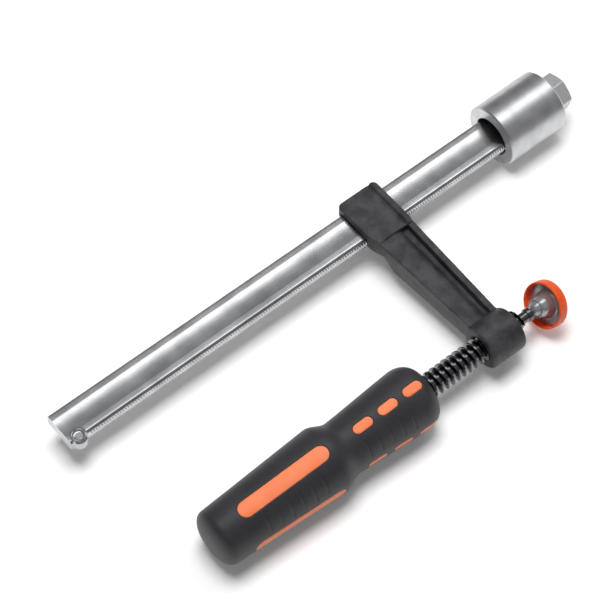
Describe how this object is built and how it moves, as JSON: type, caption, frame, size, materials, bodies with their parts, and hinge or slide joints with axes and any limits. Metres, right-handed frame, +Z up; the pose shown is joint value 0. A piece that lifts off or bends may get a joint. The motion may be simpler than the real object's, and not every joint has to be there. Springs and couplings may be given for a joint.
{
  "type": "welding table clamp",
  "caption": "Screw clamp for a perforated welding table: grooved bar with a bush for the table hole, sliding cast arm, threaded spindle with two-colour handle and swivel pad.",
  "frame": {"origin": "middle of the table bush, on its axis", "axes": "+X along the bar from the free end to the bolt, +Y away from the arm, +Z up from the broad face of the bar"},
  "size_m": [0.2645, 0.1044, 0.0296],
  "materials": {
    "bar_steel": "cold drawn and plated",
    "bush_steel": "turned",
    "bolt_steel": "plated",
    "dark_steel": "black oxide",
    "arm_coating": "black coating on cast iron",
    "orange_plastic": "moulded satin",
    "grip_rubber": "moulded satin",
    "plated_steel": "bright plated",
    "cap_plastic": "moulded satin"
  },
  "bodies": {
    "bar": {"bar": "bar_steel", "table_bush": "bush_steel", "bush_bolt": "bolt_steel", "grub_screw": "dark_steel"},
    "arm": {"sliding_arm": "arm_coating"},
    "tip": {"ball_tip": "dark_steel"},
    "spindle": {"spindle": "dark_steel", "handle_core": "orange_plastic", "handle_grip": "grip_rubber"},
    "pad": {"pad_plate": "plated_steel", "pad_ring": "plated_steel", "pad_cap": "cap_plastic"}
  },
  "joints": [
    {"name": "arm_slide", "type": "slide", "parent": "bar", "child": "arm", "axis": [1, 0, 0], "range_m": [-0.142, 0.055]},
    {"name": "spindle_feed", "type": "slide", "parent": "arm", "child": "tip", "axis": [1, 0, 0], "range_m": [-0.00901, 0.02851]},
    {"name": "spindle_turn", "type": "hinge", "parent": "tip", "child": "spindle", "pos_m": [-0.067, -0.0756, 0], "axis": [1, 0, 0], "range_deg": [-1080, 3420]},
    {"name": "pad_tilt", "type": "hinge", "parent": "tip", "child": "pad", "pos_m": [-0.0569, -0.0756, 0], "axis": [0, 1, 0], "range_deg": [-46, 0]}
  ],
  "couplings": [
    {"joint": "spindle_feed", "follows": "spindle_turn", "m_per_rad": 0.00047746}
  ]
}
